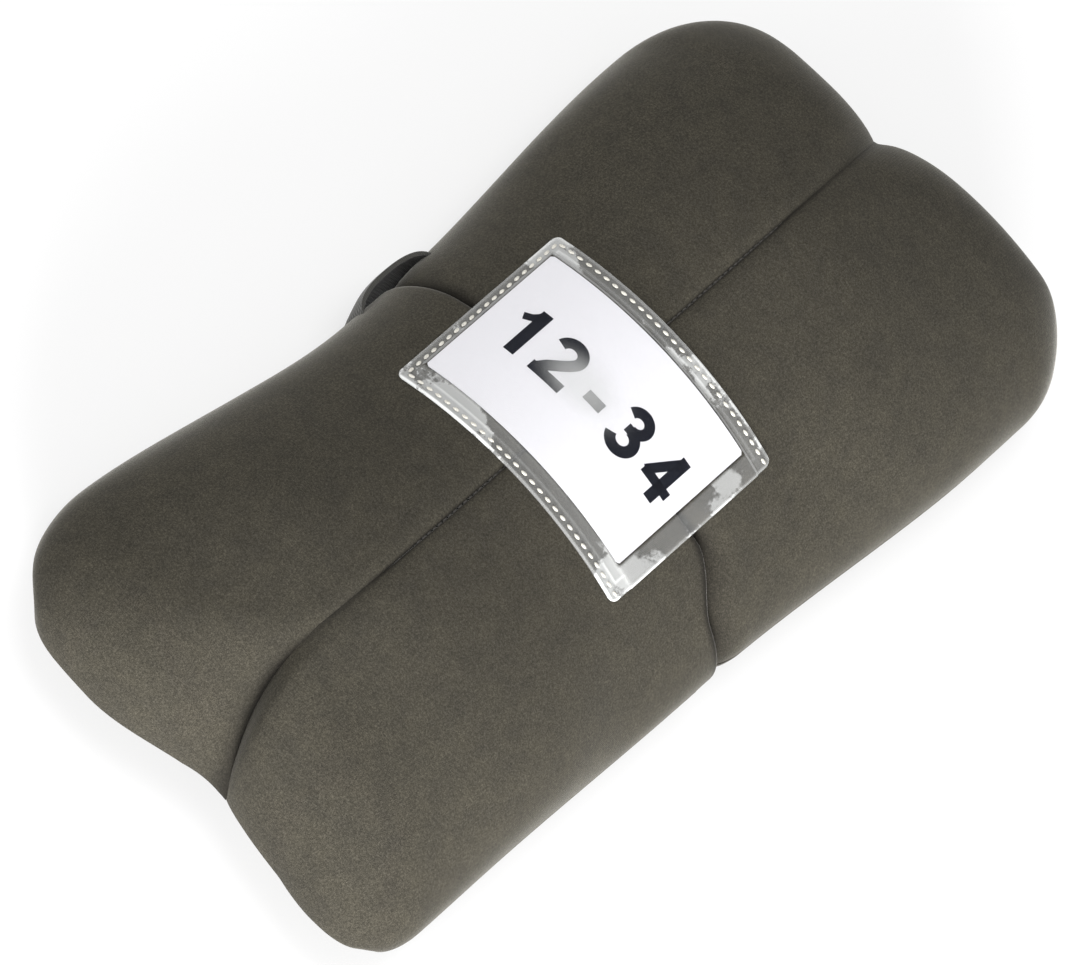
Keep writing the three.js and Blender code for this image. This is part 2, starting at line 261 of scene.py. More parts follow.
def upper_section(turn, y, side, end):
    """Outer face (x, h) for a signed share round the upper half section.

    The waist and lobe quarters are mixed by lobe_share; the width follows half_width and
    the crown droops towards the ends.
    """
    share, sign = np.abs(turn), np.sign(turn)
    curve = WAIST_CURVE[side]
    width = half_width(y, side, end)
    waist_x = np.interp(share, SHARES, curve[:, 0])
    waist_x = waist_x + (width - WAIST[side]) * smoothstep(58, WAIST[side] - 3, waist_x)
    waist_h = np.interp(share, SHARES, curve[:, 1])
    lobe_x = np.interp(share, SHARES, LOBE_CURVE[:, 0]) * width / LOBE_HALF
    crown = CROWN - DROOP * smoothstep(105, HALF, np.abs(y))
    lobe_h = np.interp(share, SHARES, LOBE_CURVE[:, 1]) * crown / CROWN
    mix = lobe_share(y)
    return sign * lerp(waist_x, lobe_x, mix), lerp(waist_h, lobe_h, mix)


def lower_section(turn, y, side, end):
    """Outer face (x, h) below the middle plane: a blunter curve, flattened later."""
    share, sign = np.abs(turn), np.sign(turn)
    width = half_width(y, side, end)
    x = np.interp(share, SHARES, LOW_CURVE[:, 0]) * width / LOBE_HALF
    return sign * x, np.interp(share, SHARES, LOW_CURVE[:, 1]) + 0 * y


def hollow(y, up):
    """The hollow's height over the middle plane (up is 1) or depth under it (-1)."""
    bulge = 16.0 if up > 0 else 8.0
    return 3.2 + bulge * np.cos(np.clip(np.abs(y) / 172, 0, 1) * np.pi / 2) ** 2


def lining_level(x, y, up):
    """Where the lining lies: at the hollow's height, and lower towards the fold."""
    edge = lerp(30 if up > 0 else 20, 8, smoothstep(56, 74, np.abs(x)))
    return np.minimum(hollow(y, up), edge)


# ---- meshes


def put_mesh(name, points, faces, paint, uv=None, sharp=50):
    """Makes an object, in one of MAKERS, from millimetres over the middle plane."""
    world = np.asarray(points, float) * MM
    world[:, 2] += CENTRE * MM
    mesh = bpy.data.meshes.new(name)
    mesh.from_pydata(world, [], faces)
    mesh.update()
    if uv is not None:
        layer = mesh.uv_layers.new(name="cloth")
        loops = np.zeros(len(mesh.loops), np.int32)
        mesh.loops.foreach_get("vertex_index", loops)
        layer.data.foreach_set("uv", np.asarray(uv, np.float32)[loops].ravel())
    mesh.validate()
    mesh.polygons.foreach_set("use_smooth", np.ones(len(mesh.polygons), bool))
    mesh.set_sharp_from_angle(angle=math.radians(sharp))
    mesh.materials.append(material(paint))
    made = bpy.data.objects.new(name, mesh)
    bpy.context.scene.collection.objects.link(made)
    return made


def grid_faces(rows, columns, offset=0):
    """Quads of a grid of points, row by row."""
    index = offset + np.arange(rows * columns).reshape(rows, columns)
    corners = [index[:-1, :-1], index[:-1, 1:], index[1:, 1:], index[1:, :-1]]
    return np.stack([c.ravel() for c in corners], 1)


def signed_volume(points, quads):
    a, b, c, d = (points[quads[:, k]] for k in range(4))
    one = np.einsum("ij,ij->i", a, np.cross(b, c)).sum()
    return one + np.einsum("ij,ij->i", a, np.cross(c, d)).sum()


def shell(outer, inner):
    """Points and outward quads of the closed solid between two grids of equal size."""
    rows, columns = outer.shape[:2]
    points = np.concatenate([outer.reshape(-1, 3), inner.reshape(-1, 3)])
    size = rows * columns
    index = np.arange(size).reshape(rows, columns)
    quads = [grid_faces(rows, columns), grid_faces(rows, columns, size)[:, ::-1]]
    edge = np.concatenate([index[0, :], index[1:, -1], index[-1, -2::-1], index[-2:0:-1, 0]])
    after = np.roll(edge, -1)
    quads.append(np.stack([after, edge, edge + size, after + size], 1))
    quads = np.concatenate(quads)
    if signed_volume(points, quads) < 0:
        quads = quads[:, ::-1]
    return points, quads


def shell_piece(name, outer, inner, paint, uv=None, sharp=50):
    if uv is not None:
        uv = np.concatenate([uv.reshape(-1, 2)] * 2)
    return put_mesh(name, *shell(outer, inner), paint, uv, sharp)


def mark(piece, name, values):
    """Gives a shell a named value at each point of its two grids."""
    both = np.tile(np.asarray(values).ravel(), 2).astype(np.float32)
    layer = piece.data.attributes.new(name, "FLOAT", "POINT")
    layer.data.foreach_set("value", both)


def offset_inwards(x, h, depth, side):
    """Moves a section's points along its inward normal, worked out across the columns."""
    along_x = np.gradient(x, axis=1)
    along_h = np.gradient(h, axis=1)
    length = np.hypot(along_x, along_h) + 1e-9
    return x + side * along_h / length * depth, h - side * along_x / length * depth


# ---- the padded quarters


class Form(NamedTuple):
    """A lobe's own shape, read from the photo. The near right lobe laps over the left."""

    reach: float  # how far it goes past the wrap's half length
    corner: float  # how much its outer corner is rounded off
    side_round: float  # length over which its end rounds down at the side
    notch: float  # how far its end is drawn in at the long seam
    notch_reach: float  # how far the notch goes across
    end_spread: float  # how far the long seam's valley goes across at the end
    square: float  # share by which the lip keeps the section's full width


FORMS = {
    ("left", "near"): Form(6.0, 10.0, 38.0, 12.5, 52.0, 60.0, 0.3),
    ("right", "near"): Form(1.0, 9.0, 20.0, 24.0, 57.0, 15.0, 0.5),
    ("left", "far"): Form(-4.0, 32.0, 27.0, 1.5, 40.0, 30.0, 0.0),
    ("right", "far"): Form(9.5, 2.0, 33.0, 15.0, 56.0, 26.0, 0.0),
}
NOTCH_SIZE = 9.0  # the notch setting at which a form's notch is true


class Quarter:
    """One padded quarter: its outer face as a function of two shares.

    across runs from the sewn edge (0) to the middle of the side (1), along from the cross
    seam (0) to the lip of the open end (1).
    """

    def __init__(self, sizes, side, end, up):
        self.side, self.end, self.up = SIDES[side], ENDS[end], up
        self.left, self.near, self.upper = side == "left", end == "near", up > 0
        self.start_x = SEAM_X if self.upper else FLAP_X
        self.round = mm(sizes.end_round)
        self.lip = mm(sizes.lip)
        self.pinch = mm(sizes.waist_pinch) * (0.4 if self.left else 1.0)
        self.seam = mm(sizes.seam_depth)
        form = FORMS[side, end]
        if self.upper:
            self.form = form._replace(notch=form.notch * mm(sizes.notch) / NOTCH_SIZE)
            self.end_seam = mm(sizes.end_seam_depth) * (2.2 if self.near else 1.0)
            self.drift = 19.0 if self.near else 0.0
        else:
            self.form = form._replace(
                reach=-8.0 if self.near else -6.0, notch=12.0 if self.near else 6.0,
                notch_reach=42.0, end_spread=30.0, square=0.0,
                corner=form.corner + (14.0 if self.left and self.near else 6.0))
            self.end_seam = 0.6 * mm(sizes.end_seam_depth)
            self.drift = 0.0

    def turn(self, across, y):
        """Signed share round the section: at the sewn edge where x is start_x."""
        wide = half_width(y, self.side, self.end) / LOBE_HALF
        if self.upper:
            start_curve = WAIST_CURVE[self.side][1, 0]
            rate = lerp(start_curve, LOBE_CURVE[1, 0] * wide, lobe_share(y))
        else:
            rate = LOW_CURVE[1, 0] * wide
        drift = self.drift * np.clip((np.abs(y) - 150) / 36, 0, 1.15) ** 2
        start = (self.start_x + drift) / rate * SHARES[1]
        return lerp(start, self.side, across)

    def section(self, turn, y):
        of_layer = upper_section if self.upper else lower_section
        return of_layer(turn, y, self.side, self.end)

    def from_seam(self, across):
        return across * LENGTHS[self.up]

    def end_line(self, across, x):
        """How far along y the end reaches: drawn in at the seam and round the corner."""
        s = self.from_seam(across)
        form = self.form
        if self.left and self.near:
            middle = form.notch * (1 - smoothstep(5, form.notch_reach, s))
        else:
            middle = form.notch * pillow(s, form.notch_reach)
        corner = form.corner * corner_cut(x, LOBE[self.side, self.end], 44)
        return HALF + form.reach * (1 - smoothstep(0.55, 1, across)) - middle - corner

    def creased(self, across, y):
        """Section with the long seam, the waist's pinch and the bottom's flat or channel."""
        x, h = self.section(self.turn(across, y), y)
        from_end, power = (62, 1.2) if self.near else (80, 1.5)
        to_end = smoothstep(HALF - from_end, HALF, np.abs(y))
        depth = lerp(self.seam, self.end_seam, to_end**power)
        spread = lerp(7.0, self.form.end_spread, to_end)
        long_seam = depth * pillow(self.from_seam(across), spread)
        at_side = smoothstep(0.38, 0.64, across)
        cross_depth = lerp(2.4, self.pinch, at_side) * (1 - 0.45 * smoothstep(0.78, 1, across))
        if not self.left and not self.near:
            cross_depth = cross_depth * 1.2
        side_reach = 8.0 if self.near else 17.6 if self.left else 17.0
        cross = cross_depth * pillow(y, lerp(8.0, side_reach, at_side))
        depth = np.maximum(long_seam, cross) - self.swell(across, y)
        x, h = offset_inwards(x, h, depth, self.side)
        if self.near and not self.left and self.upper:
            lap = np.sin(np.pi * np.clip(self.from_seam(across) / 34, 0, 1))
            x = x - 15.0 * lap * to_end
        if not self.upper:
            channel = 4.6 * (1 - smoothstep(21, 42, np.abs(y)))
            floor, soft = CENTRE - channel, 3
            over = h - floor
            pressed_flat_and_painted_shade = -((soft - np.clip(soft + over, 0, soft)) ** 2) / (2 * soft)
            h = floor + np.where(over > -soft, pressed_flat_and_painted_shade, over + soft / 2)
        return x, h

    def swell(self, across, y):
        """Broad, slight unevenness of the padding, none under the pocket or at the edges."""
        s = self.from_seam(across)
        v = np.abs(y)
        key = 1.7 * self.side + 2.9 * self.end + 0.8 * self.up
        wave = 0.45 * np.sin(v / 21.0 + key) * np.sin(s / 17.0 + 2 * key)
        wave += 0.22 * np.sin((v + s) / 14.0 + 3 * key)
        clear = np.maximum(smoothstep(60, 76, s), smoothstep(46, 70, v))
        edge = smoothstep(0, 0.12, across) * smoothstep(1, 0.85, across)
        return wave * clear * edge

    def base(self, x, h, y):
        """Inner face: over the lining's outer side, and outside the side's lining."""
        bend, soft = 60, 16
        width = np.maximum(half_width(y, self.side, self.end), 78)
        past = np.clip(np.abs(x) - bend, 0, None)
        full = 1 - np.exp(-(width - bend) / soft)
        bent = bend + soft * (1 - np.exp(-past / soft)) / full
        base_x = np.where(np.abs(x) > bend, bent, np.abs(x))
        level = lining_level(x, y, self.up) + 1.5
        return np.sign(x) * base_x, level * filled(h, 6)

    def outer_face(self, across, line, tube_rows=150, end_rows=34, lip_rows=4):
        """The tube up to the lobe's rounding, the rounded end, and a lip turned in."""
        t = np.linspace(0, 1, tube_rows)[:, None]
        t = lerp(t, t**2, 0.35)
        rounding = lerp(self.round, self.form.side_round, smoothstep(0.6, 1, across))
        tube = HALF_GAP + (line - rounding - HALF_GAP) * t
        swing = np.linspace(0, np.pi / 2, end_rows + 1)[1:, None]
        power = 2 / 2.1
        close = line - rounding + rounding * np.sin(swing) ** power
        y = np.concatenate([tube, close])
        grow = np.concatenate([np.ones((tube_rows, 1)), np.clip(np.cos(swing), 0, 1) ** power])
        x, h = self.creased(across + 0 * y, y)
        lip_x = lerp(self.base(x, h, y)[0], x, self.form.square)
        x = lerp(lip_x, x, grow)
        h = lerp(self.lip * filled(h, 10), h, grow)
        back = np.linspace(0, 1, lip_rows + 1)[1:, None]
        y = np.concatenate([y, line - 4.5 * back])
        x = np.concatenate([x, np.repeat(x[-1:], lip_rows, 0)])
        rise = filled(h[tube_rows - 1:tube_rows], 10)
        h = np.concatenate([h, h[-1:] + rise * 1.2 * back**2])
        shown = y
        if self.near and self.upper:
            begin, whole, most = (0.38, 0.64, 4.0) if self.left else (0.30, 0.56, 8.0)
            lean = np.sin(np.pi * np.clip(y / 20, 0, 1)) * smoothstep(begin, whole, across)
            shown = y - most * lean
        return np.stack([x, self.end * shown - self.slant(across, y), self.up * h], 2)

    def inner_face(self, across, line, rows):
        """The base, pulled part of the way to the outer face at the side."""
        y = HALF_GAP + (line - 5.5 - HALF_GAP) * np.linspace(0, 1, rows)[:, None]
        full_x, full_h = self.creased(across + 0 * y, y)
        base_x, base_h = self.base(full_x, full_h, y)
        near_end = smoothstep(0, self.round + 14, line - y)
        pull = 0.5 * smoothstep(0.42, 0.7, across) * near_end
        x, h = lerp(base_x, full_x, pull), lerp(base_h, full_h, pull)
        return np.stack([x, self.end * y - self.slant(across, y), self.up * h], 2)

    def faces(self):
        """Outer and inner grids, and the outer one laid flat, in tens of millimetres."""
        before_end = HALF - 20.0
        turn = self.turn(ACROSS, np.full((1, 1), before_end))
        x_end, _ = self.section(turn, np.full_like(turn, before_end))
        line = self.end_line(ACROSS, x_end)
        outer = self.outer_face(ACROSS, line)
        inner = self.inner_face(ACROSS, line, len(outer))
        steps = np.linalg.norm(np.diff(outer, axis=0), axis=2)
        down = np.concatenate([np.zeros((1, outer.shape[1])), np.cumsum(steps, axis=0)])
        flat = np.stack([self.from_seam(ACROSS) + 0 * down, down], 2)
        return outer, inner, flat * MM * 10

    def slant(self, across, y):
        """Shift of the right side towards the near end, where the cross seam slants."""
        deep = 0.0 if self.left else 10.0
        return deep * smoothstep(0.55, 0.78, across) * (1 - smoothstep(0, 110, np.abs(y)))

    def painted_crease_shade(self, outer):
        """One at the sewn lines, falling off beside: a mask of painted shade, where the
        cover's colour is darkened as if in shadow.
        """
        y = np.abs(outer[..., 1] + self.slant(ACROSS, outer[..., 1]))
        to_end = smoothstep(HALF - 62, HALF - 8, y)
        wide = lerp(0.9, 7.0 if self.near and self.left else 1.6, to_end)
        side_wide = 2.0 if self.near else 3.6 if self.left else 8.0
        cross_wide = lerp(0.8, side_wide, smoothstep(0.38, 0.6, ACROSS))
        return np.maximum(bell(self.from_seam(ACROSS), 0, wide),
                          bell(np.clip(y - 0.3, 0, None), 0, cross_wide))


def make_quarter(sizes, layer, side, end):
    quarter = Quarter(sizes, side, end, LAYERS[layer])
    outer, inner, flat = quarter.faces()
    piece = shell_piece(f"pad_{layer}_{side}_{end}", outer, inner, "cover", flat, sharp=60)
    # painted shade: the cover carries this mask to darken its colour along the sewn lines
    mark(piece, "painted_crease_shade", quarter.painted_crease_shade(outer))
    if layer == "upper":
        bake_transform(piece)
        parts = "cover_top", "foam_top", "fold_upper", "cover_side", "foam_side"
    else:
        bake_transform(piece)
        parts = "cover_flap", "foam_flap", "fold_lower"
    nodes = [f"{part}_{side}_{end}" for part in parts]
    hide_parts(*nodes)


# ---- stitches


def stitch_form(length, width, height, rings=5, spokes=6):
    """A closed grain: rings of an ellipse that swell by the root of a cosine."""
    t = np.linspace(-1, 1, rings + 2)[1:-1]
    size = np.sqrt(np.cos(t * np.pi / 2))
    turn = np.linspace(0, 2 * np.pi, spokes, endpoint=False)
    along = np.repeat(t * length / 2, spokes)
    across = (size[:, None] * np.cos(turn) * width / 2).ravel()
    up = (size[:, None] * np.sin(turn) * height / 2).ravel()
    points = np.stack([along, across, up], 1)
    tips = np.array([[-length / 2, 0, 0], [length / 2, 0, 0]])
    points = np.concatenate([points, tips])
    index = np.arange(rings * spokes).reshape(rings, spokes)
    after = np.roll(index, -1, axis=1)
    quads = np.stack(
        [index[:-1].ravel(), index[1:].ravel(), after[1:].ravel(), after[:-1].ravel()], 1)
    first, last = rings * spokes, rings * spokes + 1
    tris = [np.stack([np.full(spokes, first), index[0], after[0]], 1),
            np.stack([np.full(spokes, last), after[-1], index[-1]], 1)]
    return points, quads, np.concatenate(tris)


def stitch_row(path, normal, pitch, size, yaw=0.0, lift=0.0):
    """Copies one stitch along a path, each lying along it and on its normal."""
    along = lengths_along(path)
    count = max(1, int(along[-1] // pitch))
    place = (np.arange(count) + 0.5) * along[-1] / count
    middle = read_at(place, along, path)
    half = size[0] / 2
    ahead = read_at(place + half, along, path) - read_at(place - half, along, path)
    ahead /= np.linalg.norm(ahead, axis=1)[:, None]
    up = read_at(place, along, normal)
    up -= np.einsum("ij,ij->i", up, ahead)[:, None] * ahead
    up /= np.linalg.norm(up, axis=1)[:, None]
    beside = np.cross(up, ahead)
    if yaw:
        turned = ahead * math.cos(yaw) + beside * math.sin(yaw)
        beside = beside * math.cos(yaw) - ahead * math.sin(yaw)
        ahead = turned
    form, quads, tris = stitch_form(*size)
    points = (middle[:, None, :] + form[None, :, 0:1] * ahead[:, None, :]
              + form[None, :, 1:2] * beside[:, None, :]
              + (form[None, :, 2:3] + lift) * up[:, None, :])
    shift = (np.arange(count) * len(form))[:, None, None]
    return (points.reshape(-1, 3), (quads[None] + shift).reshape(-1, 4),
            (tris[None] + shift).reshape(-1, 3))


def joined(parts):
    """All points and all faces of parts that each hold points and arrays of faces."""
    points, faces, offset = [], [], 0
    for part_points, *arrays in parts:
        points.append(part_points)
        for array in arrays:
            faces += (array + offset).tolist()
        offset += len(part_points)
    return np.concatenate(points), faces


# ---- materials


class Nodes:
    """The node tree of a material or of the world, with short calls for its nodes."""

    def __init__(self, owner):
        owner.use_nodes = True
        self.owner, self.tree = owner, owner.node_tree
        self.shader = self.tree.nodes.get("Principled BSDF")

    def feed(self, socket, value):
        """Links an output to the socket, or sets the socket's own number or colour."""
        if isinstance(value, bpy.types.NodeSocket):
            self.tree.links.new(value, socket)
        elif value is not None:
            socket.default_value = (*value, 1) if isinstance(value, tuple) else value

    def add(self, kind, *inputs, **values):
        """Adds a node, and feeds its first sockets in order and the others by name."""
        node = self.tree.nodes.new("ShaderNode" + kind)
        for socket, value in zip(node.inputs, inputs):
            self.feed(socket, value)
        for key, value in values.items():
            if key in node.inputs.keys():
                self.feed(node.inputs[key], value)
            else:
                setattr(node, key, value)
        return node

    @functools.cached_property
    def place(self):
        return self.add("TexCoord").outputs["Object"]

    def noise(self, scale, detail=2.0, rough=0.5):
        return self.add("TexNoise", Vector=self.place, Scale=scale, Detail=detail,
                        Roughness=rough).outputs["Fac"]

    def maths(self, operation, *values, clamp=False):
        return self.add("Math", *values, operation=operation, use_clamp=clamp).outputs[0]

    def weighed(self, a, share_a, b, share_b):
        """The sum of two values, each times its share."""
        return self.maths("ADD", self.maths("MULTIPLY", a, share_a),
                          self.maths("MULTIPLY", b, share_b))

    def ramp(self, value, *stops):
        made = self.add("ValToRGB", value)
        band = made.color_ramp
        while len(band.elements) < len(stops):
            band.elements.new(0.5)
        for element, (place, colour) in zip(band.elements, stops):
            element.position = place
            element.color = (*colour, 1)
        return made.outputs["Color"]

    def mix(self, share, a, b, blend="MIX"):
        made = self.add("Mix", share, data_type="RGBA", blend_type=blend)
        self.feed(made.inputs[6], a)
        self.feed(made.inputs[7], b)
        return made.outputs[2]

    def bump(self, height, distance, strength, normal=None):
        return self.add("Bump", Height=height, Distance=distance, Strength=strength,
                        Normal=normal).outputs["Normal"]

    def marked(self, name):
        """A value that a mesh carries at its points."""
        return self.add("Attribute", attribute_name=name).outputs["Fac"]

    def waves(self, place, *pitches):
        """Sines from 0 to 1 along a place's first coordinates, one for each pitch."""
        split = self.add("SeparateXYZ", place)
        sines = [self.maths("SINE", self.maths("MULTIPLY", value, 2 * math.pi / pitch))
                 for value, pitch in zip(split.outputs, pitches)]
        return [self.maths("MULTIPLY_ADD", sine, 0.5, 0.5) for sine in sines]

    def flat_place(self):
        return self.add("UVMap", uv_map="cloth").outputs["UV"]

    def seen(self):
        """One for the rays that show the backdrop as white."""
        path = self.add("LightPath")
        seen = self.maths("ADD", path.outputs["Is Camera Ray"], path.outputs["Is Glossy Ray"])
        return self.maths("ADD", seen, path.outputs["Is Transmission Ray"], clamp=True)

    def surface(self, colour, normal, rough, **others):
        """Feeds the shader, with spaces for the underscores, and gives back the owner."""
        values = {"Base_Color": colour, "Normal": normal, "Roughness": rough, **others}
        for name, value in values.items():
            self.feed(self.shader.inputs[name.replace("_", " ")], value)
        return self.owner

    def mix_shaders(self, share, first, second):
        """Shows two shaders mixed; the share is the second's."""
        mixed = self.add("MixShader", share, first, second).outputs[0]
        self.feed(self.tree.nodes["Material Output"].inputs["Surface"], mixed)


def nodes_for(name):
    return Nodes(bpy.data.materials.new(name))


def times(colour, factor):
    return tuple(min(1, factor * value) for value in colour)


def grained(name, base, grain, stops, relief, rough, **others):
    """A material whose relief and colour, at stops times its base, follow one noise."""
    nodes = nodes_for(name)
    noise = nodes.noise(*grain)
    colour = nodes.ramp(noise, *[(place, times(base, factor)) for place, factor in stops])
    return nodes.surface(colour, relief and nodes.bump(noise, *relief), rough, **others)


def cloth_material(colours):
    """Brushed knit: heathered fibres, a fine knit, nap, a soft sheen, and painted shade along
    the sewn lines.
    """
    nodes = nodes_for("cover_knit")
    grain, fleck = nodes.noise(2300, 3.0, 0.7), nodes.noise(1150, 2.0, 0.6)
    heather = nodes.weighed(grain, 0.55, fleck, 0.45)
    base = colours.cloth
    colour = nodes.ramp(
        heather, (0.36, times(base, 0.6)), (0.5, base), (0.66, colours.cloth_light))
    cloud = nodes.noise(105, 4.0, 0.66)
    shade = nodes.ramp(cloud, (0.32, (0.87, 0.87, 0.88)), (0.68, (1.12, 1.11, 1.08)))
    colour = nodes.mix(1.0, colour, shade, "MULTIPLY")
    # painted shade: the colour goes towards near black along the sewn lines, standing for the
    # shadow in the seams
    pressed_flat_and_painted_shade = nodes.maths("MULTIPLY", nodes.marked("painted_crease_shade"), 0.8)
    colour = nodes.mix(pressed_flat_and_painted_shade, colour, (0.006, 0.005, 0.004))
    knit = nodes.maths("MULTIPLY", *nodes.waves(nodes.flat_place(), 0.0085, 0.0070))
    normal = nodes.bump(knit, 0.00008, 0.5)
    normal = nodes.bump(heather, 0.00018, 0.5, normal)
    return nodes.surface(colour, normal, 0.92, Specular_IOR_Level=0.18, Sheen_Weight=0.42,
                         Sheen_Roughness=0.30, Sheen_Tint=(0.95, 0.93, 0.86))


def lining_material(colours):
    nodes = nodes_for("lining_knit")
    knit = nodes.maths("MULTIPLY", *nodes.waves(nodes.place, 0.0011, 0.0009))
    mixed = nodes.weighed(knit, 0.5, nodes.noise(900), 0.5)
    base = colours.lining
    colour = nodes.ramp(mixed, (0.3, times(base, 0.6)), (0.75, times(base, 1.7)))
    return nodes.surface(colour, nodes.bump(knit, 0.0002, 0.7), 0.8, Sheen_Weight=0.2)


def webbing_material(colours):
    """Plain weave of coarse yarns along and across the strap, laid flat."""
    nodes = nodes_for("webbing")
    warp, weft = nodes.waves(nodes.flat_place(), 0.016, 0.020)
    weave = nodes.maths("ABSOLUTE", nodes.maths("SUBTRACT", warp, weft))
    mixed = nodes.weighed(weave, 0.7, nodes.noise(1400), 0.4)
    base = colours.webbing
    colour = nodes.ramp(mixed, (0.2, times(base, 0.5)), (0.8, times(base, 2.4)))
    return nodes.surface(colour, nodes.bump(mixed, 0.00035, 0.9), 0.72, Sheen_Weight=0.25)


def thread_material(name, base):
    return grained(name, base, (2200,), ((0.3, 0.7), (0.7, 1.2)), (0.0002, 0.6), 0.6)


def card_material(colours):
    return grained("card_stock", colours.card, (700, 3.0, 0.6), ((0.3, 0.965), (0.7, 1)),
                   (0.00005, 0.4), 0.55)


def ink_material(colours):
    return grained("card_ink", colours.figures, (1800,), ((0.35, 1), (0.8, 1.8)), None, 0.6,
                   Specular_IOR_Level=0.12)


def vinyl_material():
    """Clear soft sheet: see-through with a gloss, hazier where the border is doubled, with
    patches of painted reflection in the border's haze and a painted reflection over the card's
    middle.
    """
    nodes = nodes_for("clear_vinyl")
    ripple = nodes.bump(nodes.noise(90), 0.0006, 0.5)
    fresnel = nodes.add("Fresnel", IOR=1.28, Normal=ripple).outputs[0]
    gloss = nodes.maths("SUBTRACT", fresnel, 0.0155, clamp=True)
    gloss = nodes.maths("MULTIPLY", gloss, 0.30)
    # patches of the border's haze: painted reflection of the lamps, broken up by noise
    broken = nodes.maths("MULTIPLY", nodes.noise(620, 2.0, 0.6), 0.16)
    broken = nodes.maths("ADD", nodes.noise(48, 2.0, 0.45), broken)
    patch = nodes.add("MapRange", broken, 0.595, 0.635, 0.085, 0.34,
                      interpolation_type="SMOOTHSTEP").outputs[0]
    haze_and_painted_light = nodes.maths("MULTIPLY", nodes.marked("border"), patch)
    # painted reflection: a whitish haze over the card's middle, standing for a lamp's
    # reflection in the sheet
    painted_reflection = nodes.maths("MULTIPLY", nodes.marked("painted_reflection"), 0.24)
    haze_and_painted_light = nodes.maths("ADD", nodes.maths("ADD", haze_and_painted_light, painted_reflection), 0.001)
    share = nodes.maths("ADD", haze_and_painted_light, gloss, clamp=True)
    clear = nodes.add("BsdfTransparent", (0.99, 0.988, 0.992)).outputs[0]
    nodes.mix_shaders(share, clear, nodes.shader.outputs[0])
    fine = nodes.bump(nodes.noise(900), 0.00002, 0.3, ripple)
    return nodes.surface((0.80, 0.81, 0.80), fine, 0.30, IOR=1.48)


def hook_material():
    nodes = nodes_for("hook_tape")
    cells = nodes.add("TexVoronoi", Vector=nodes.place, Scale=900.0).outputs["Distance"]
    colour = nodes.ramp(cells, (0.1, (0.030, 0.029, 0.026)), (0.7, (0.008, 0.008, 0.007)))
    return nodes.surface(colour, nodes.bump(cells, 0.0006, 0.8), 0.55)


MAKERS = {
    "cover": cloth_material,
    "lining": lining_material,
    "webbing": webbing_material,
    "thread": lambda colours: thread_material("pocket_thread", colours.thread),
    "seam_thread": lambda colours: thread_material("seam_thread", colours.seam_thread),
    "card": card_material,
    "ink": ink_material,
    "vinyl": lambda colours: vinyl_material(),
    "hook": lambda colours: hook_material(),
}


@functools.cache
def material(name):
    """Each material is made once, from the colours in the scene's settings."""
    return MAKERS[name](bpy.context.scene.wrap_colours)


# ---- operators


class MakePads(bpy.types.Operator):
    """Makes the eight padded quarters of the wrap"""

    bl_idname = "wrap.pads"
    bl_label = "Padded quarters"

    def execute(self, context):
        for layer in LAYERS:
            for side in SIDES:
                for end in ENDS:
                    make_quarter(context.scene.wrap_sizes, layer, side, end)
        return {"FINISHED"}


def lining_piece(name, body, from_x, to_x, up):
    """Thin knit over the hollow, drawn down at its long edges and kept inside the lips."""
    x = np.linspace(from_x, to_x, 60)[None, :]
    corner = 42 * corner_cut(x, LOBE_HALF, 42)
    notch = 12 * pillow(x - (SEAM_X if up > 0 else FLAP_X), 40)
    y = np.linspace(-1, 1, 121)[:, None] * (HALF - 20 - corner - notch)
    level = lining_level(x, y, up)
    inner = np.stack([x + 0 * y, y, up * level], 2)
    outer = np.stack([x + 0 * y, y, up * (level + LINING)], 2)
    piece = shell_piece(name, outer, inner, "lining", sharp=40)
    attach(piece, body)
    return piece


class MakeLinings(bpy.types.Operator):
    """Makes the five linings inside the wrap"""

    bl_idname = "wrap.linings"
    bl_label = "Linings"

    def execute(self, context):
        # Each with its body, its edges, its layer, and its cut: width, length and area.
        parts = {
            "lining_top": ("top_panel", -LINING_EDGE, LINING_EDGE, "upper",
                           0.1583, 0.3518, 0.05278),
            "lining_flap_left": ("left_flap", -LINING_EDGE, FLAP_X - HALF_GAP, "lower",
                                 0.0805, 0.3505, 0.02777),
            "lining_flap_right": ("right_flap", FLAP_X + HALF_GAP, LINING_EDGE, "lower",
                                  0.0686, 0.3505, 0.02357),
        }
        for node, (body, low, high, layer, width, length, area) in parts.items():
            piece = lining_piece(f"{node}_knit", body, low, high, LAYERS[layer])
            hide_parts(node)
        for side, sign in SIDES.items():
            y = np.linspace(-148, 148, 80)[:, None]
            h = np.linspace(-9.85, 9.85, 12)[None, :]
            inner = np.stack([sign * (SIDE_LINING + 0 * y + 0 * h), y + 0 * h, h + 0 * y], 2)
            outer = inner + [sign * LINING, 0, 0]
            piece = shell_piece(f"lining_side_{side}_knit", outer, inner, "lining")
            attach(piece, f"{side}_side")
            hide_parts(f"lining_side_{side}")
        return {"FINISHED"}


class MakeSeams(bpy.types.Operator):
    """Makes the stitches along the long seam"""

    bl_idname = "wrap.seams"
    bl_label = "Seam stitches"

    def execute(self, context):
        sizes = context.scene.wrap_sizes
        pitch = mm(sizes.stitch_pitch)
        rows = []
        for end, stop in (("near", 112), ("far", 168)):
            outer, _, _ = Quarter(sizes, "right", end, 1).faces()
            path = outer[8:stop, 0] + [-0.15, 0, 0.25]
            normal = np.tile([0.0, 0.0, 1.0], (len(path), 1))
            rows.append(stitch_row(path, normal, pitch, (0.8 * pitch, 0.9, 0.5), lift=0.15))
        piece = put_mesh("seam_thread_long", *joined(rows), "seam_thread")
        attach(piece, "top_panel")
        return {"FINISHED"}


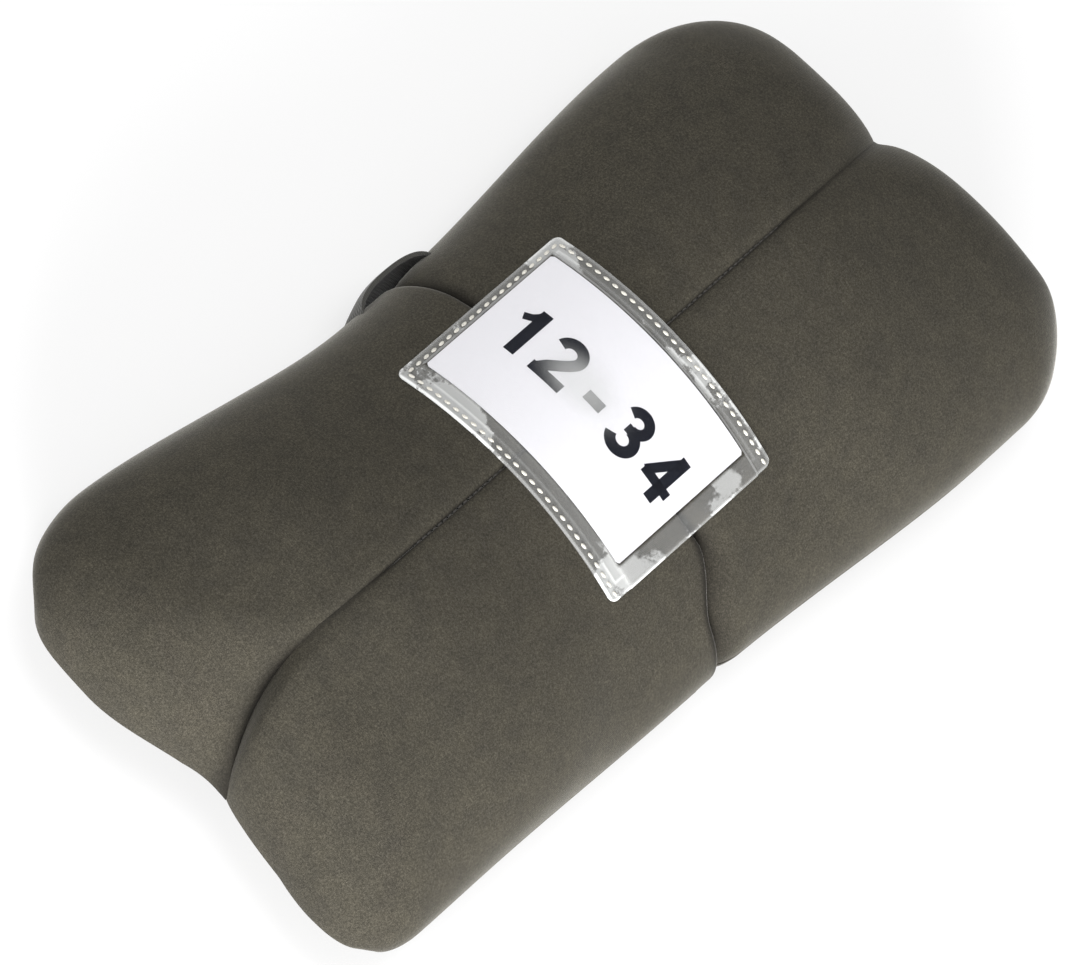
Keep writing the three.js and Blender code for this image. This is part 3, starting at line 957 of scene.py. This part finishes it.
def arc_point(x_arc, y, radius):
    """A place on a cylinder about the pocket's axis, x_arc millimetres round from the top."""
    angle = x_arc / POCKET_RADIUS
    return np.stack([radius * np.sin(angle), y + 0 * angle,
                     ARC_DROP + radius * np.cos(angle)], -1)


def edge_steps(half, fine, middle):
    """Places from -half to half, close together near both edges."""
    near = np.concatenate([np.arange(0, 2.2, 0.2), np.arange(2.4, fine, 0.45)])
    left = -half + near
    centre = np.linspace(left[-1], -left[-1], middle + 2)[1:-1]
    return np.concatenate([left, centre, -left[::-1]])


def pocket_faces():
    """Outer and inner grids of the clear sheet, its border values, which carry its haze with
    painted highlights and painted light, and its painted reflection values.

    It bulges over the card and lies low round it, with a bead at its edge, a weld beside
    the card, and a sunk line under the stitches on its three closed sides.
    """
    u = edge_steps(POCKET_HALF[0], 13, 44)[None, :]
    v = edge_steps(POCKET_HALF[1], 14, 36)[:, None]
    slope = 1.6
    from_card_x = np.clip(CARD_MID[0] - CARD_HALF[0] - u - POCKET_MID[0], 0, None)
    from_card_y = np.abs(v + POCKET_MID[1] - CARD_MID[1]) - CARD_HALF[1]
    over = (smoothstep(0, 1, (slope - from_card_x) / slope)
            * smoothstep(0, 1, (slope - from_card_y) / slope))
    to_edge = np.minimum(POCKET_HALF[0] - np.abs(u), POCKET_HALF[1] - np.abs(v))
    low = SHEET + 0.75 * over
    bead = 0.22 * bell(to_edge, 0.9, 0.4)
    weld = 0.16 * bell(to_edge, 5.6, 0.4) * (1 - over)
    slack = 0.10 * np.sin(u / 6.5 + 0.4) * np.sin(v / 8.0 + 1.0) * over
    sink = -0.22 * bell(to_edge, 3.0, 0.8) * (u < POCKET_HALF[0] - 9)
    rim = 0.35 * pillow(to_edge, 0.6)
    outer_r = CLOTH + low + GLAZE + bead + weld + slack + sink - rim
    inner_r = CLOTH + (low - SHEET) + np.minimum(slack, 0)
    rounding = 3.2
    past = np.clip(np.abs(v) - (POCKET_HALF[1] - rounding), 0, rounding) / rounding
    keep = np.maximum(np.sqrt(1 - past**2), 0.06)
    start = POCKET_HALF[0] - rounding
    rounded = start + (np.abs(u) - start) * keep
    u = np.sign(u) * np.where(np.abs(u) > start, rounded, np.abs(u))
    place = POCKET_MID[0] + u + 0 * v, POCKET_MID[1] + v + 0 * u
    # painted highlight: a light line along the edge's bead and along the weld
    bright = bell(to_edge, 0.5, 0.5) + 0.5 * weld / 0.16
    # the open end's strip over the cloth: partly the sheet's haze, partly painted light that
    # lifts the shade under the sheet
    past_card = u + POCKET_MID[0] - CARD_MID[0] - CARD_HALF[0]
    open_end = smoothstep(0, 1.5, past_card) * over
    border = (1 - over) + 0.75 * open_end + 1.4 * bright * np.maximum(1 - over, open_end)
    # painted reflection: a soft spot over the card's middle, where a lamp's reflection is
    # painted
    spot = ((u + 8.0) / 15.0) ** 2 + ((v - 1.0) / 9.0) ** 2
    return arc_point(*place, outer_r), arc_point(*place, inner_r), border, np.exp(-(spot**1.5))


class MakePocket(bpy.types.Operator):
    """Makes the clear pocket and the stitches on its three closed sides"""

    bl_idname = "wrap.pocket"
    bl_label = "Clear pocket"

    def execute(self, context):
        outer, inner, border, painted_reflection = pocket_faces()
        piece = shell_piece("pocket_sheet", outer, inner, "vinyl", sharp=70)
        mark(piece, "border", border)
        mark(piece, "painted_reflection", painted_reflection)
        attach(piece, "top_panel")
        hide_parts("pocket_window")

        inset = 3.0
        hx, hy = POCKET_HALF[0] - inset, POCKET_HALF[1] - inset
        open_x = hx + 2.5
        t = np.linspace(0, 1, 60)
        rows = []
        for (x0, x1), (y0, y1) in (((open_x, -hx), (hy, hy)), ((-hx, -hx), (hy, -hy)),
                                   ((-hx, open_x), (-hy, -hy))):
            place = POCKET_MID[0] + lerp(x0, x1, t), POCKET_MID[1] + lerp(y0, y1, t)
            path = arc_point(*place, CLOTH + SHEET + GLAZE - 0.05)
            normal = arc_point(*place, 1.0) - arc_point(*place, 0.0)
            rows.append(stitch_row(path, normal, 4.1, (2.8, 1.35, 0.85), yaw=0.10, lift=0.08))
        thread = put_mesh("pocket_thread", *joined(rows), "thread")
        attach(thread, "top_panel")
        return {"FINISHED"}


def ellipse_path(centre, radii, first, last, count=28):
    """Points of an ellipse between two angles in degrees."""
    turn = np.radians(np.linspace(first, last, count))
    circle = np.stack([np.cos(turn), np.sin(turn)], 1)
    return np.array(centre) + np.array(radii) * circle


def line(*points):
    return np.array(points, float)


def figure_strokes():
    """The middle lines and widths of plain bold figures, each about its own middle."""
    one = [(line((1.7, -11.3), (1.7, 11.3)), 4.6),
           (line((-4.6, 4.6), (-1.6, 6.0), (0.3, 8.0), (1.4, 10.6)), 3.2)]
    hook = ellipse_path((0.1, 4.5), (4.9, 4.5), 170, -28)
    slope = line((3.1, 0.5), (0.6, -2.2), (-2.5, -5.2), (-4.9, -8.7))
    two = [(np.concatenate([hook, slope]), 4.5), (line((-7.3, -9.1), (7.2, -9.1)), 4.3)]
    upper = ellipse_path((-0.3, 4.9), (4.5, 4.1), 165, -90)
    lower = ellipse_path((-0.2, -4.4), (5.0, 4.7), 90, -165)
    three = [(upper, 4.3), (lower, 4.5), (line((-2.4, 0.55), (0.2, 0.55)), 3.9)]
    four = [(line((2.7, -11.3), (2.7, 11.3)), 4.4), (line((-6.5, -4.3), (7.4, -4.3)), 3.9),
            (line((-5.6, -4.6), (2.6, 9.6)), 3.7)]
    dash = [(line((-4.0, -2.6), (4.0, -2.6)), 4.6)]
    return [(-36.0, one), (-18.2, two), (0.0, dash), (16.6, three), (35.2, four)]


def stroke_band(path, width, thickness=0.05, fine=0.8):
    """A thin closed band about a line in the card's plane: its edges lie half a width off."""
    along = lengths_along(path)
    where = np.linspace(0, along[-1], max(3, int(along[-1] / fine)))
    middle = read_at(where, along, path)
    ahead = np.gradient(middle, axis=0)
    ahead /= np.linalg.norm(ahead, axis=1)[:, None]
    beside = np.stack([-ahead[:, 1], ahead[:, 0]], 1)
    share = np.linspace(-0.5, 0.5, 6)[None, :, None]
    flat = middle[:, None, :] + beside[:, None, :] * width * share
    low = np.concatenate([flat, np.full(flat.shape[:2] + (1,), -0.02)], 2)
    high = low + [0, 0, thickness]
    return shell(high, low)


class MakeCard(bpy.types.Operator):
    """Makes the card and its generic printed figures"""

    bl_idname = "wrap.card"
    bl_label = "Card"

    def execute(self, context):
        u = np.linspace(-CARD_HALF[0], CARD_HALF[0], 90)[None, :]
        corner = 0.9
        reach = CARD_HALF[1] - corner * corner_cut(u, CARD_HALF[0], corner)
        v = np.linspace(-1, 1, 9)[:, None] * reach + CARD_MID[1]
        u = u + CARD_MID[0] + 0 * v
        outer, inner = arc_point(u, v, CARD_TOP), arc_point(u, v, CLOTH)
        piece = shell_piece("card_sheet", outer, inner, "card")
        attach(piece, "card")
        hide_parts("id_card")

        points, faces = joined(stroke_band(path + [place, 0], width)
                               for place, strokes in figure_strokes()
                               for path, width in strokes)
        x, y, rise = points.T
        bent = arc_point(x + CARD_MID[0] + 1.0, y + CARD_MID[1] + 1.7, CARD_TOP + rise)
        figures = put_mesh("card_figures", bent, faces, "ink", sharp=30)
        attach(figures, "card")
        return {"FINISHED"}


def ribbon(name, path, width, thickness, paint):
    """A flat band: a line in x and h carried along y, with thin, bowed edges."""
    step = np.gradient(path, axis=0)
    step /= np.linalg.norm(step, axis=1)[:, None]
    normal = np.stack([step[:, 1], -step[:, 0]], 1)
    if np.sign(np.einsum("ij,ij->i", normal, -path)).sum() > 0:
        normal = -normal
    t = np.linspace(-1, 1, 25)
    thin = thickness / 2 * (1 - 0.75 * np.abs(t) ** 14)
    y = np.repeat((np.sign(t) * np.abs(t) ** 0.8 * width / 2)[None, :], len(path), 0)
    bow = (1.8 * t**6 - 4.0 * (1 - t**2))[None, :] * smoothstep(-16, 6, path[:, 1])[:, None]
    middle = path[:, None, :] + normal[:, None, :] * thickness / 2
    faces = []
    for sign in (1, -1):
        x, h = np.moveaxis(middle + sign * normal[:, None, :] * thin[None, :, None], 2, 0)
        faces.append(np.stack([x + bow, y, h], 2))
    flat = np.stack([y, np.repeat(lengths_along(path)[:, None], len(t), 1)], 2) * MM * 10
    return shell_piece(name, *faces, paint, uv=flat, sharp=60)


def softened(points, count=150, window=13):
    """A polyline resampled at even steps and averaged over a window, its ends kept."""
    span = lengths_along(points)
    path = read_at(np.linspace(0, span[-1], count), span, points)
    kernel = np.hanning(window)
    kernel /= kernel.sum()
    soft = np.stack([np.convolve(np.pad(column, window // 2, mode="edge"), kernel, "valid")
                     for column in path.T], 1)
    soft[0], soft[-1] = path[0], path[-1]
    return soft


class MakeStrap(bpy.types.Operator):
    """Makes the strap from the left side to under the left flap"""

    bl_idname = "wrap.strap"
    bl_label = "Strap"

    def execute(self, context):
        side_x = -85.0
        path = softened(line(
            (side_x + 0.5, 10.6), (side_x, 7.0), (side_x, 0.0), (side_x + 0.3, -6.0),
            (side_x + 1.5, -11.0), (side_x + 5.0, -15.5), (-74.0, -17.9), (-64.0, -18.0),
            (-50.0, -18.0), (-30.0, -18.0), (-18.0, -18.0), (-6.0, -18.8), (0.0, -19.3),
            (5.7, -19.3)))
        piece = ribbon("strap_webbing", path, 38.0, 1.8, "webbing")
        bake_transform(piece)
        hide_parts("strap_side", "strap_turn", "strap_flap")
        for node, paint in (("strap_end", "webbing"), ("hook_patch", "hook")):
            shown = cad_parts[node].data.materials
            shown.clear()
            shown.append(material(paint))
        return {"FINISHED"}


def make_floor(scene):
    mesh = bpy.data.meshes.new("floor")
    size = 6.0
    mesh.from_pydata([(-size, -size, 0), (size, -size, 0), (size, size, 0), (-size, size, 0)],
                     [], [(0, 1, 2, 3)])
    floor = bpy.data.objects.new("floor", mesh)
    scene.collection.objects.link(floor)
    nodes = nodes_for("floor_pale")
    mesh.materials.append(nodes.surface((0.86, 0.86, 0.86), None, 0.9, Specular_IOR_Level=0.1))
    glow = nodes.add("Emission", Strength=1.0).outputs[0]
    share = nodes.maths("MULTIPLY", nodes.seen(), 0.62)
    nodes.mix_shaders(share, nodes.shader.outputs[0], glow)


def make_world(scene):
    """A white room that lights the wrap less than it shows."""
    scene.world = bpy.data.worlds.new("pale_room")
    sky = Nodes(scene.world)
    back = sky.tree.nodes["Background"]
    sky.feed(back.inputs["Strength"], sky.maths("MULTIPLY_ADD", sky.seen(), 0.45, 0.55))
    sky.feed(back.inputs["Color"], (1, 1, 1))


def make_lamps(scene, level):
    for name, place, power, width in (
        ("key", (1.35, -1.3, 0.42), 84.0, 0.9),
        ("top", (-0.2, 0.1, 1.9), 18.0, 1.2),
        ("front", (-0.8, -1.6, 0.35), 12.0, 0.8),
    ):
        lamp = bpy.data.lights.new(name, "AREA")
        lamp.energy = power * level
        lamp.size = width
        holder = bpy.data.objects.new(name, lamp)
        holder.location = place
        aim = Vector((0, 0, 0.04)) - Vector(place)
        holder.rotation_mode = "QUATERNION"
        holder.rotation_quaternion = aim.to_track_quat("-Z", "Y")
        holder.visible_camera = False
        scene.collection.objects.link(holder)


def make_camera(scene, settings):
    """A long lens, turned as fitted to the photo, with the wrap's middle at centre_px."""
    az, el, roll = settings.azimuth, settings.elevation, settings.roll
    back = Vector((math.sin(az) * math.cos(el), -math.cos(az) * math.cos(el), math.sin(el)))
    right = Vector((0, 0, 1)).cross(back).normalized()
    up = back.cross(right)
    across = right * math.cos(roll) + up * math.sin(roll)
    upward = up * math.cos(roll) - right * math.sin(roll)
    scale, sensor = settings.pixels_per_mm, 36
    width_px, height_px = 1080, 965
    aim = Vector((0, 0, 40 * MM))
    aim -= across * (settings.centre_px[0] - width_px / 2) / scale * MM
    aim += upward * (settings.centre_px[1] - height_px / 2) / scale * MM
    lens = bpy.data.cameras.new("view")
    lens.sensor_width = sensor
    lens.lens = scale * mm(settings.distance) / width_px * sensor
    lens.clip_start, lens.clip_end = 0.05, 50
    camera = bpy.data.objects.new("view", lens)
    camera.matrix_world = Matrix.Translation(aim + back * settings.distance) @ Matrix(
        (across, upward, back)).transposed().to_4x4()
    scene.collection.objects.link(camera)
    scene.camera = camera


class MakeStage(bpy.types.Operator):
    """Makes the pale floor, the soft lights and the camera"""

    bl_idname = "wrap.stage"
    bl_label = "Stage"

    def execute(self, context):
        scene = context.scene
        scene.view_settings.view_transform = "Standard"
        make_floor(scene)
        make_world(scene)
        make_lamps(scene, scene.wrap_stage.light)
        make_camera(scene, scene.wrap_stage)
        return {"FINISHED"}


class WrapPanel(bpy.types.Panel):
    """Lists the steps that build the wrap"""

    bl_label = "Quilted wrap"
    bl_idname = "VIEW3D_PT_wrap"
    bl_space_type = "VIEW_3D"
    bl_region_type = "UI"
    bl_category = "Wrap"

    def draw(self, context):
        for operator in OPERATORS:
            self.layout.operator(operator.bl_idname)
        for group, kind in GROUPS.items():
            box = self.layout.box()
            for prop in kind.__annotations__:
                box.prop(getattr(context.scene, group), prop)


OPERATORS = [MakePads, MakeLinings, MakeSeams, MakePocket, MakeCard, MakeStrap, MakeStage]
GROUPS = {"wrap_sizes": WrapSizes, "wrap_colours": WrapColours, "wrap_stage": StageSettings}


def register():
    for kind in [*GROUPS.values(), *OPERATORS, WrapPanel]:
        bpy.utils.register_class(kind)
    for name, kind in GROUPS.items():
        setattr(bpy.types.Scene, name, bpy.props.PointerProperty(type=kind))


def unregister():
    for name in GROUPS:
        delattr(bpy.types.Scene, name)
    for kind in reversed([*GROUPS.values(), *OPERATORS, WrapPanel]):
        bpy.utils.unregister_class(kind)


def main():
    register()
    bpy.ops.wrap.pads()
    bpy.ops.wrap.linings()
    bpy.ops.wrap.seams()
    bpy.ops.wrap.pocket()
    bpy.ops.wrap.card()
    bpy.ops.wrap.strap()
    bpy.ops.wrap.stage()


if __name__ == "__main__":
    main()
